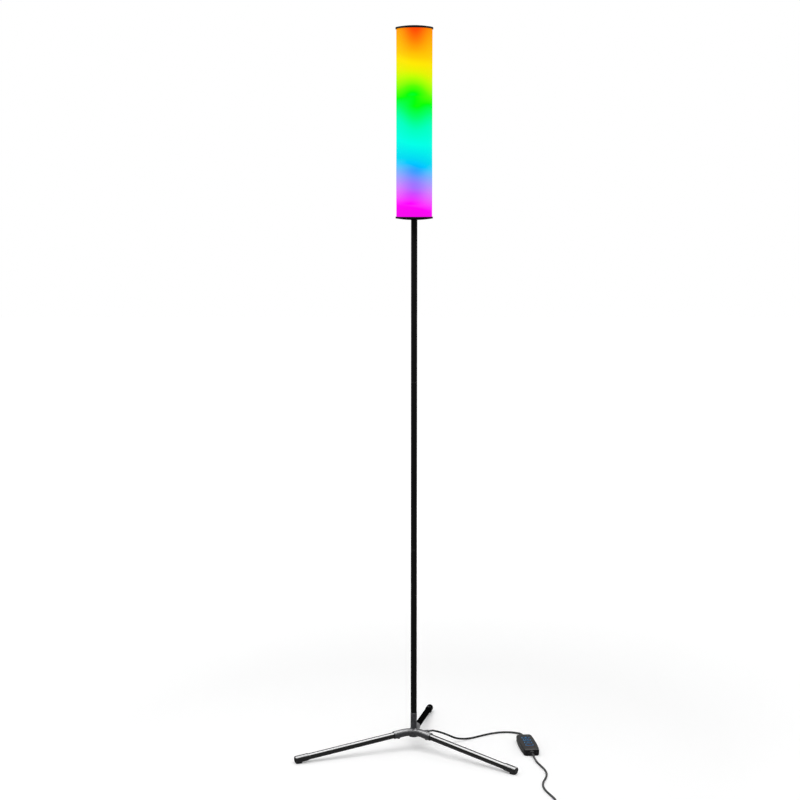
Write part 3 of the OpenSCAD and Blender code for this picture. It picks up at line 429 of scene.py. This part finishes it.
def lit_tube(name):
    """Milky tube lit from inside: the colours change with height, and bulge along its middle."""
    material, tree, shader = new_material(name)
    low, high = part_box("shade_diffuser")
    here = add(tree, "SeparateXYZ", {"Vector": add(tree, "TexCoord").outputs["Object"]})
    height = add(tree, "MapRange", {"Value": here.outputs["Z"], "From Min": low.z, "From Max": high.z})
    height = height.outputs["Result"]
    curve = add(tree, "FloatCurve", {"Value": height})
    line = curve.mapping.curves[0]
    while len(line.points) < len(MIDDLE_SHIFT):
        line.points.new(0.5, 0.5)
    for point, (place, shift) in zip(line.points, MIDDLE_SHIFT):
        point.location = (place, 0.5 + shift / SHIFT_SPAN)
    curve.mapping.update()
    shift = add(tree, "MapRange", {
        "Value": curve.outputs["Value"], "To Min": -SHIFT_SPAN / 2, "To Max": SHIFT_SPAN / 2,
    })
    depth = add(tree, "Math", {0: here.outputs["Y"], 1: high.y}, operation="DIVIDE")
    depth = add(tree, "Math", {0: depth.outputs["Value"]}, operation="ABSOLUTE")
    middle = add(tree, "Math", {0: depth.outputs["Value"], 1: MIDDLE_POWER}, operation="POWER")
    middle = middle.outputs["Value"]
    leaned = add(tree, "Math", {0: here.outputs["X"], 1: LEAN, 2: height}, operation="MULTIPLY_ADD")
    moved = add(tree, "Math", {
        0: shift.outputs["Result"], 1: middle, 2: leaned.outputs["Value"],
    }, operation="MULTIPLY_ADD")
    factor = add(tree, "Math", {0: moved.outputs["Value"], 1: TUBE_SPAN}, operation="DIVIDE")
    stops = [(place / TUBE_SPAN, colour) for place, colour in TUBE_COLOURS]
    colours = ramp(tree, factor.outputs["Value"], stops)
    away = add(tree, "Math", {0: height, 1: RICH_HEIGHT}, operation="SUBTRACT")
    away = add(tree, "Math", {0: away.outputs["Value"]}, operation="ABSOLUTE")
    pull = add(tree, "MapRange", {
        "Value": away.outputs["Value"], "From Min": RICH_FULL, "From Max": RICH_END,
        "To Min": RICH_MOST, "To Max": 0.0,
    })
    richness = add(tree, "Math", {0: pull.outputs["Result"], 1: middle, 2: 1.0}, operation="MULTIPLY_ADD")
    rich = add(tree, "HueSaturation", {"Color": colours, "Saturation": richness.outputs["Value"]})
    # Painted light: a dimmed copy of the glow's colours becomes the base colour of the milky tube
    dim = add(tree, "HueSaturation", {"Color": rich.outputs["Color"], "Value": GLOW_PAINTED_BASE})
    grain = add(tree, "TexNoise", {"Vector": place_of(tree), "Scale": 1 / (0.6 * MM), "Detail": 2.0})
    bump = add(tree, "Bump", {"Height": grain.outputs["Fac"], "Distance": 0.01 * MM})
    tree.links.new(rich.outputs["Color"], shader.inputs["Emission Color"])
    tree.links.new(dim.outputs["Color"], shader.inputs["Base Color"])
    tree.links.new(bump.outputs["Normal"], shader.inputs["Normal"])
    shader.inputs["Emission Strength"].default_value = TUBE_GLOW
    shader.inputs["Roughness"].default_value = 0.35
    shader.inputs["Specular IOR Level"].default_value = 0.01
    satin(tree, shader)
    return material


def lit_ring(name):
    """Clear ring that glows light blue, a little paler in places."""
    material, tree, shader = new_material(name)
    noise = add(tree, "TexNoise", {"Vector": place_of(tree), "Scale": 1 / (5 * MM), "Detail": 2.0})
    blue = ramp(tree, noise.outputs["Fac"], [(0.35, rgb(0.08, 0.4, 0.65)), (0.65, rgb(0.22, 0.5, 0.68))])
    dim = add(tree, "HueSaturation", {"Color": blue, "Value": 0.3}).outputs["Color"]
    tree.links.new(blue, shader.inputs["Emission Color"])
    tree.links.new(dim, shader.inputs["Base Color"])
    shader.inputs["Emission Strength"].default_value = 0.9
    shader.inputs["Roughness"].default_value = 0.3
    shader.inputs["Specular IOR Level"].default_value = 0.05
    return material


def tracked_board(name, mask, track):
    """Circuit board: a lacquer with fine straight tracks under it."""
    material, tree, shader = new_material(name)
    wave = add(tree, "TexWave", {"Vector": place_of(tree), "Scale": 1 / (4 * MM), "Distortion": 3.0})
    tracks = ramp(tree, wave.outputs["Fac"], [(0.75, mask), (0.82, track)])
    bump = add(tree, "Bump", {"Height": wave.outputs["Fac"], "Distance": 0.02 * MM})
    tree.links.new(tracks, shader.inputs["Base Color"])
    tree.links.new(bump.outputs["Normal"], shader.inputs["Normal"])
    shader.inputs["Roughness"].default_value = 0.3
    return material


def black(level):
    return rgb(level, level, level * 1.04)


MATERIALS = {
    "hub": finish(
        "cast_grey", black(0.14), black(0.22), 5 * MM, 0.9 * MM, 0.05 * MM, (0.32, 0.46),
        Specular_IOR_Level=0.16),
    "leg_tube": finish(
        "gloss_black", black(0.02), black(0.04), 30 * MM, 2.5 * MM, 0.003 * MM, (0.08, 0.13),
        fades=True, Specular_IOR_Level=0.19),
    "foot_rubber": finish(
        "foot_rubber", black(0.03), black(0.06), 8 * MM, 0.35 * MM, 0.015 * MM, (0.18, 0.28),
        fades=True, Specular_IOR_Level=0.17),
    "pole": finish(
        "satin_black", black(0.01), black(0.03), 40 * MM, 0.5 * MM, 0.006 * MM, (0.32, 0.42),
        stretch=(1, 1, 0.05), fades=True, Specular_IOR_Level=0.04),
    "steel": finish(
        "machined_steel", rgb(0.5, 0.505, 0.51), rgb(0.6, 0.605, 0.61), 5 * MM, 0.25 * MM, 0.01 * MM,
        (0.22, 0.38), Metallic=1.0),
    "gland": finish(
        "gland_rubber", black(0.07), black(0.12), 6 * MM, 0.3 * MM, 0.03 * MM, (0.55, 0.7),
        Specular_IOR_Level=0.1),
    "lead": finish("lead_jacket", black(0.1), black(0.15), 8 * MM, 0.3 * MM, 0.02 * MM, (0.45, 0.6)),
    "shade_cap": finish(
        "satin_plastic", black(0.02), black(0.05), 12 * MM, 0.3 * MM, 0.02 * MM, (0.3, 0.4),
        fades=True, Specular_IOR_Level=0.03),
    "diffuser": lit_tube("milky_lit_tube"),
    "light_core": finish(
        "extruded_aluminium", rgb(0.78, 0.79, 0.8), rgb(0.87, 0.88, 0.89), 10 * MM, 0.3 * MM, 0.01 * MM,
        (0.3, 0.45), stretch=(1, 1, 0.04), Metallic=1.0),
    "core_plug": finish("nylon_black", black(0.1), black(0.16), 8 * MM, 0.3 * MM, 0.02 * MM, (0.45, 0.6)),
    "circuit_board": tracked_board("green_lacquer", rgb(0.05, 0.32, 0.2), rgb(0.12, 0.5, 0.3)),
    "led_strip": tracked_board("white_lacquer", rgb(0.93, 0.93, 0.91), rgb(0.86, 0.8, 0.66)),
    "led_chip": finish(
        "chip_resin", rgb(0.95, 0.93, 0.8), rgb(1, 0.98, 0.88), 3 * MM, 0.4 * MM, 0.01 * MM, (0.12, 0.25)),
    "controller_case": finish(
        "eroded_plastic", black(0.08), black(0.12), 10 * MM, 0.28 * MM, 0.03 * MM, (0.4, 0.55),
        Specular_IOR_Level=0.03),
    "board_part": finish("moulded_parts", black(0.12), black(0.2), 2 * MM, 0.2 * MM, 0.01 * MM, (0.4, 0.6)),
    "boss": finish(
        "boss_rubber", black(0.08), black(0.12), 5 * MM, 0.25 * MM, 0.02 * MM, (0.5, 0.65),
        Specular_IOR_Level=0.05),
    "wire": finish(
        "wire_jacket", rgb(0.7, 0.12, 0.09), rgb(0.8, 0.2, 0.14), 4 * MM, 0.3 * MM, 0.01 * MM, (0.35, 0.5)),
    "light_ring": lit_ring("lit_blue_ring"),
    "button": finish(
        "key_plastic", rgb(0.05, 0.08, 0.12), rgb(0.08, 0.11, 0.15), 6 * MM, 0.22 * MM, 0.015 * MM,
        (0.4, 0.5), Specular_IOR_Level=0.03),
    "plunger": finish(
        "plunger_plastic", rgb(0.88, 0.88, 0.86), rgb(0.93, 0.93, 0.91), 3 * MM, 0.3 * MM, 0.01 * MM,
        (0.35, 0.5)),
    "cord": finish(
        "cord_jacket", black(0.07), black(0.12), 20 * MM, 0.4 * MM, 0.03 * MM, (0.4, 0.55),
        Specular_IOR_Level=0.08),
    "tie": finish(
        "strap", black(0.12), black(0.2), 2 * MM, 0.5 * MM, 0.08 * MM, (0.6, 0.8), Specular_IOR_Level=0.1),
    "plug_grip": finish(
        "moulded_grip", black(0.08), black(0.13), 8 * MM, 0.3 * MM, 0.03 * MM, (0.42, 0.58),
        Specular_IOR_Level=0.08),
    "plug_shell": finish(
        "nickel_sheet", rgb(0.78, 0.78, 0.77), rgb(0.86, 0.86, 0.85), 5 * MM, 0.3 * MM, 0.004 * MM,
        (0.14, 0.25), stretch=(0.1, 1, 1), Metallic=1.0),
    "plug_tongue": finish(
        "tongue_plastic", rgb(0.9, 0.9, 0.89), rgb(0.95, 0.95, 0.94), 4 * MM, 0.3 * MM, 0.01 * MM,
        (0.4, 0.55), Specular_IOR_Level=0.1),
    "contact": finish(
        "gold_plate", rgb(0.85, 0.67, 0.3), rgb(0.95, 0.78, 0.4), 2 * MM, 0.2 * MM, 0.004 * MM, (0.15, 0.25),
        Metallic=1.0),
}
# Printed signs and legend; their emission is a painted glow in the print's own colour
PRINTS = {
    "blue": finish(
        "blue_print_painted_glow", rgb(0.05, 0.25, 0.4), rgb(0.1, 0.3, 0.45), 2 * MM, 0.2 * MM, 0.005 * MM, (0.4, 0.5),
        Specular_IOR_Level=0.03, Emission_Color=rgb(0.12, 0.5, 0.75), Emission_Strength=0.9),
    "red": finish(
        "red_print_painted_glow", rgb(0.3, 0.12, 0.1), rgb(0.36, 0.15, 0.13), 2 * MM, 0.2 * MM, 0.005 * MM, (0.4, 0.5),
        Specular_IOR_Level=0.03, Emission_Color=rgb(0.25, 0.08, 0.07), Emission_Strength=0.5),
}


# Screws that show, in a blackened finish
DARK_SCREWS = ("leg_lock_screws", "top_cap_screw")
BLACKENED = finish(
    "blackened_steel", black(0.08), black(0.15), 2 * MM, 0.25 * MM, 0.01 * MM, (0.35, 0.5),
    Specular_IOR_Level=0.1)


def dress_nodes():
    """Every CAD node gets the material of its slot, apart from the dark screws."""
    slots = {part["node"]: part["material_slot"] for part in frame["record"]["subparts"]}
    for name, node in NODES.items():
        node.data.materials.clear()
        node.data.materials.append(BLACKENED if name in DARK_SCREWS else MATERIALS[slots[name]])


dress_nodes()


# Cast and moulded pieces with soft edges

def soften(piece, voxel, passes):
    """Modifiers that round the edges of a piece, as casting and moulding leave them."""
    remesh = piece.modifiers.new("remesh", "REMESH")
    remesh.mode = "VOXEL"
    remesh.voxel_size = voxel
    remesh.use_smooth_shade = True
    relax = piece.modifiers.new("relax", "SMOOTH")
    relax.factor = 0.5
    relax.iterations = passes


def softened(name, node, slot, voxel, passes):
    """Copy of a CAD node with rounded edges."""
    piece = link(name, NODES[node].data.copy(), replaces=(node,))
    soften(piece, voxel, passes)
    apply_modifiers(piece)
    piece.data.materials.clear()
    piece.data.materials.append(MATERIALS[slot])
    piece.data.shade_smooth()
    return piece


softened("hub_casting", "hub", "hub", 0.5 * MM, 6)
softened("gland_moulding", "cord_gland", "gland", 0.25 * MM, 4)
for side in ("rear", "left", "right"):
    softened(f"foot_{side}", f"foot_cap_{side}", "foot_rubber", 0.4 * MM, 5)
for half in ("controller_front", "controller_back"):
    soften(NODES[half], 0.35 * MM, 5)


# Forms of the controller

def arc(radius, steps, start, end):
    """Points (1 - cos, sin) of an arc in degrees, times the radius."""
    turns = [math.radians(start + (end - start) * k / steps) for k in range(steps + 1)]
    return [(radius * (1 - math.cos(a)), radius * math.sin(a)) for a in turns]


def octagon(inset):
    x, y = RING_W / 2 - inset, RING_H / 2 - inset
    cut = RING_CUT - inset * (2 - math.sqrt(2))
    return [
        (x, -y + cut), (x, y - cut), (x - cut, y), (-x + cut, y),
        (-x, y - cut), (-x, -y + cut), (-x + cut, -y), (x - cut, -y),
    ]


def key_place(i):
    return BOX_PLACE @ Matrix.Translation((0, ROW_SHIFT + (1.5 - i) * KEY_PITCH, 0))


def prism(name, outline, z0, z1, place):
    return solid(name, [ring_at(outline, z0, place), ring_at(outline, z1, place)])


def cord_boss(name, node, side, profile):
    """Rubber boss, from its collar inside the wall to the profile outside, given as (radius, height)."""
    place = BOX_PLACE @ Matrix.Translation((0, side * BOX_L / 2, SEAM_H))
    place = place @ Matrix.Rotation(-side * math.pi / 2, 4, "X")
    inside = [
        (BOSS_COLLAR_D / 2, -BOX_WALL - BOSS_COLLAR_T), (BOSS_COLLAR_D / 2, -BOX_WALL),
        (BOSS_NECK_D / 2, -BOX_WALL), (BOSS_NECK_D / 2, 0),
    ]
    rings = [ring_at(circle(2 * r), z, place) for r, z in inside + profile]
    piece = link(name, solid(name, rings), slot="boss", replaces=(node,))
    bore = prism("bore", circle(BOSS_BORE), -10 * MM, 10 * MM, place)
    combine(piece, [bore], "DIFFERENCE")
    smooth(piece)


def bosses():
    r = BOSS_D / 2
    tip = CORD_D / 2 + BOSS_LIP
    dome = [(tip + (r - tip) * math.cos(a), INLET_L * math.sin(a)) for a in
            [math.radians(10 * k) for k in range(10)]]
    cord_boss("inlet_moulding", "inlet_boss", 1, dome)
    rounded = [(r - dx, OUTLET_L - BOSS_EDGE + dz) for dx, dz in arc(BOSS_EDGE, 6, 0, 90)]
    cord_boss("outlet_moulding", "outlet_boss", -1, [(r, 0), *rounded])


bosses()


# Keys, their signs and the legend

def key(i, name):
    """Key with a rounded cap in its ring, a collar under the front and a stem on the plunger."""
    side = RING_LINE + KEY_GAP
    place = key_place(i)
    cap = [(side + dx, KEY_TOP - KEY_ROUND + dz) for dx, dz in arc(KEY_ROUND, 5, 0, 90)]
    rings = [ring_at(octagon(inset), z, place) for inset, z in [(side, COLLAR_Z + COLLAR_T), *cap]]
    piece = link(f"key_{name}", solid("cap", rings), f"{name}_key", "button", (f"button_{name}",))
    collar = prism("collar", octagon(side - COLLAR_OVER), COLLAR_Z, COLLAR_Z + COLLAR_T, place)
    stem = prism("stem", circle(STEM_D), STEM_Z, COLLAR_Z + 0.5 * COLLAR_T, place)
    combine(piece, [collar, stem], "UNION")
    smooth(piece)


def printed(name, outlines, place, z, colour, body="root"):
    """Thin printed sign made of flat outlines."""
    rim = bmesh.new()
    for outline in outlines:
        face = rim.faces.new([rim.verts.new(place @ Vector((x, y, z - PRINT_T))) for x, y in outline])
        made = bmesh.ops.extrude_face_region(rim, geom=[face])["geom"]
        lift = [v for v in made if isinstance(v, bmesh.types.BMVert)]
        bmesh.ops.translate(rim, verts=lift, vec=(0, 0, 2 * PRINT_T))
    bmesh.ops.recalc_face_normals(rim, faces=rim.faces)
    mesh = bpy.data.meshes.new(name)
    rim.to_mesh(mesh)
    rim.free()
    piece = link(name, mesh, body)
    piece.data.materials.append(PRINTS[colour])
    return piece


def bar(w, h, x=0, y=0):
    return [(x - w / 2, y - h / 2), (x + w / 2, y - h / 2), (x + w / 2, y + h / 2), (x - w / 2, y + h / 2)]


def band(radius, width, start, end, steps=24):
    """Part of a ring between two angles in degrees. Its width may taper from one end to the other."""
    shares = [k / steps for k in range(steps + 1)]
    turns = [math.radians(start + (end - start) * s) for s in shares]
    widths = [width[0] + (width[1] - width[0]) * s for s in shares]
    outer = [((radius + w / 2) * math.cos(a), (radius + w / 2) * math.sin(a)) for a, w in zip(turns, widths)]
    inner = [((radius - w / 2) * math.cos(a), (radius - w / 2) * math.sin(a)) for a, w in zip(turns, widths)]
    return outer + inner[::-1]


def plus_sign():
    a, b = 2.4 * MM, 0.5 * MM
    return [[
        (a, -b), (a, b), (b, b), (b, a), (-b, a), (-b, b),
        (-a, b), (-a, -b), (-b, -b), (-b, -a), (b, -a), (b, -b),
    ]]


def arrow(turn):
    """Curved leaf-like arrow. Its tail is thin and its head points along the curve."""
    radius, start, neck, tip, head = 2.2 * MM, 95, 175, 215, 1.15 * MM
    tail = band(radius, (0.1 * MM, 1.1 * MM), start, neck)
    half = len(tail) // 2
    at = math.radians(neck)
    outer = ((radius + head) * math.cos(at), (radius + head) * math.sin(at))
    inner = ((radius - head) * math.cos(at), (radius - head) * math.sin(at))
    point = (radius * math.cos(math.radians(tip)), radius * math.sin(math.radians(tip)))
    outline = tail[:half] + [outer, point, inner] + tail[half:]
    spin = math.radians(turn)
    return [
        (1.12 * (x * math.cos(spin) - y * math.sin(spin)), x * math.sin(spin) + y * math.cos(spin))
        for x, y in outline
    ]


SIGNS = {
    "plus": (plus_sign(), "blue"),
    "mode": ([arrow(0), arrow(180)], "blue"),
    "minus": ([bar(5 * MM, 1.1 * MM)], "blue"),
    "power": (
        [band(2.1 * MM, (0.7 * MM, 0.7 * MM), 122, 418, 40), bar(0.7 * MM, 2.3 * MM, 0, 1.5 * MM)], "red",
    ),
}


def legend():
    """The generic word pair under the power key, as flat letters."""
    words = bpy.data.curves.new("switch_legend", "FONT")
    words.body = "on/off"
    words.align_x = "CENTER"
    words.align_y = "CENTER"
    words.size = LEGEND_SIZE
    words.space_character = 1.15
    words.extrude = PRINT_T
    mesh = mesh_of(words)
    mesh.transform(BOX_PLACE @ Matrix.Translation((0, LEGEND_Y, BOX_T)))
    piece = link("switch_legend", mesh)
    piece.data.materials.append(PRINTS["red"])
    return piece


for i, name in enumerate(KEYS):
    key(i, name)
    outlines, colour = SIGNS[name]
    printed(f"sign_{name}", outlines, key_place(i), KEY_TOP, colour, f"{name}_key")
legend()


# Plug

def plug_grip():
    """Moulded grip: ribbed tail around the cord, a shoulder and a body with finger grooves."""

    def ring(x, w, t, power):
        """Rounded rectangle around the plug's axis. The power runs from 2 for an ellipse up to boxy."""
        points = []
        for k in range(64):
            c, s = math.cos(2 * math.pi * k / 64), math.sin(2 * math.pi * k / 64)
            y = math.copysign(abs(c) ** (2 / power), c) * w / 2
            z = math.copysign(abs(s) ** (2 / power), s) * t / 2
            points.append(PLUG + Vector((-x, y, z)))
        return points

    # Places along the axis, widths and thicknesses in millimetres, and how boxy the ring is
    tail = []
    for k in range(RIBS):
        d, x = 5.2 + 0.35 * k, 2 * k
        tail += [
            (x + 0.1, d, d, 2), (x + 1.2, d + 0.1, d + 0.1, 2),
            (x + 1.4, d - 0.5, d - 0.5, 2), (x + 1.9, d - 0.5, d - 0.5, 2),
        ]
    body = [
        (10.4, 7.4, 7.2, 2), (11.2, 8.6, 7.6, 2.3), (12.6, 11.4, 8.1, 3), (14.2, 13.6, 8.35, 4),
        (16, 14.9, 8.4, 5), (17, 15.2, 8.4, 6),
    ]
    grooves = []
    for k in range(GROOVES):
        x = 18 + 2.4 * k
        grooves += [
            (x, 15.2, 8.4, 6), (x + 0.3, 14.6, 7.9, 6), (x + 0.9, 14.6, 7.9, 6), (x + 1.2, 15.2, 8.4, 6),
        ]
    front = [(29, 15.4, 8.4, 7), (36.8, 15.6, 8.4, 8), (37.6, 15.4, 8.2, 8), (38, 14.8, 7.6, 8)]
    rings = [ring(x * MM, w * MM, t * MM, power) for x, w, t, power in tail + body + grooves + front]
    piece = link("grip_moulding", solid("grip", rings), slot="plug_grip", replaces=("plug_grip",))
    return smooth(piece, 40)


grip = plug_grip()


# Cords

lead = cord_tube("lead_flex", lead_points, ("lead_cord",))
supply_line = supply_points + coil + tail_points
supply = cord_tube("supply_flex", supply_line, ("supply_cord", "cord_coil", "plug_cord"))


# Stage and light

# Light that comes from all round, as a share of the white that the camera sees
AMBIENT = 0.5
FLOOR_REACH = 12
# Brightness of the floor's own glow near the lamp and far from it, and where it changes
NEAR_GLOW = 0.22
FAR_GLOW = 0.62
NEAR = 0.6
FAR = 2.2


def seen(tree):
    """1 for what the camera sees, also in reflections and through glass, and 0 for other light."""
    path = add(tree, "LightPath")
    flag = path.outputs["Is Camera Ray"]
    for kind in ("Is Glossy Ray", "Is Transmission Ray"):
        flag = add(tree, "Math", {0: flag, 1: path.outputs[kind]}, operation="MAXIMUM").outputs["Value"]
    return flag


def make_floor():
    mesh = bpy.data.meshes.new("floor")
    r = FLOOR_REACH
    mesh.from_pydata([(-r, -r, 0), (r, -r, 0), (r, r, 0), (-r, r, 0)], [], [(0, 1, 2, 3)])
    floor = bpy.data.objects.new("floor", mesh)
    bpy.context.scene.collection.objects.link(floor)
    material, tree, shader = new_material("floor")
    shader.inputs["Base Color"].default_value = rgb(0.93, 0.93, 0.93)
    shader.inputs["Roughness"].default_value = 0.9
    shader.inputs["Specular IOR Level"].default_value = 0.0
    here = add(tree, "TexCoord").outputs["Object"]
    away = add(tree, "VectorMath", {0: here}, operation="LENGTH").outputs["Value"]
    glow = add(tree, "MapRange", {
        "Value": away, "From Min": NEAR, "From Max": FAR, "To Min": NEAR_GLOW, "To Max": FAR_GLOW,
    })
    glow = add(tree, "Math", {0: seen(tree), 1: glow.outputs["Result"]}, operation="MULTIPLY")
    shader.inputs["Emission Color"].default_value = (1, 1, 1, 1)
    tree.links.new(glow.outputs["Value"], shader.inputs["Emission Strength"])
    mesh.materials.append(material)


def make_world():
    world = bpy.data.worlds.new("studio")
    world.use_nodes = True
    tree = world.node_tree
    strength = add(tree, "MapRange", {"Value": seen(tree), "To Min": AMBIENT, "To Max": 1.0})
    background = tree.nodes["Background"]
    background.inputs["Color"].default_value = (1, 1, 1, 1)
    tree.links.new(strength.outputs["Result"], background.inputs["Strength"])
    bpy.context.scene.world = world


def softbox(name, place, aim, width, height, radiance, diffuse=True, glossy=True):
    """Rectangular lamp that lights surfaces, shows in reflections, or both."""
    lamp = bpy.data.lights.new(name, "AREA")
    lamp.shape = "RECTANGLE"
    lamp.size = width
    lamp.size_y = height
    lamp.energy = radiance * math.pi * width * height
    box = bpy.data.objects.new(name, lamp)
    box.location = place
    box.rotation_euler = (Vector(aim) - Vector(place)).to_track_quat("-Z", "Y").to_euler()
    box.visible_diffuse = diffuse
    box.visible_glossy = glossy
    bpy.context.scene.collection.objects.link(box)


make_floor()
make_world()
softbox(
    "overhead", place=(-0.2, -0.5, 2.3), aim=(0, 0, 0.1), width=3, height=2, radiance=1.85, glossy=False)
softbox(
    "sheen", place=(-0.3, -0.05, 2.3), aim=(-0.3, -0.05, 0), width=3.6, height=2.3, radiance=50.0,
    diffuse=False)
bpy.context.scene.view_settings.view_transform = "Standard"
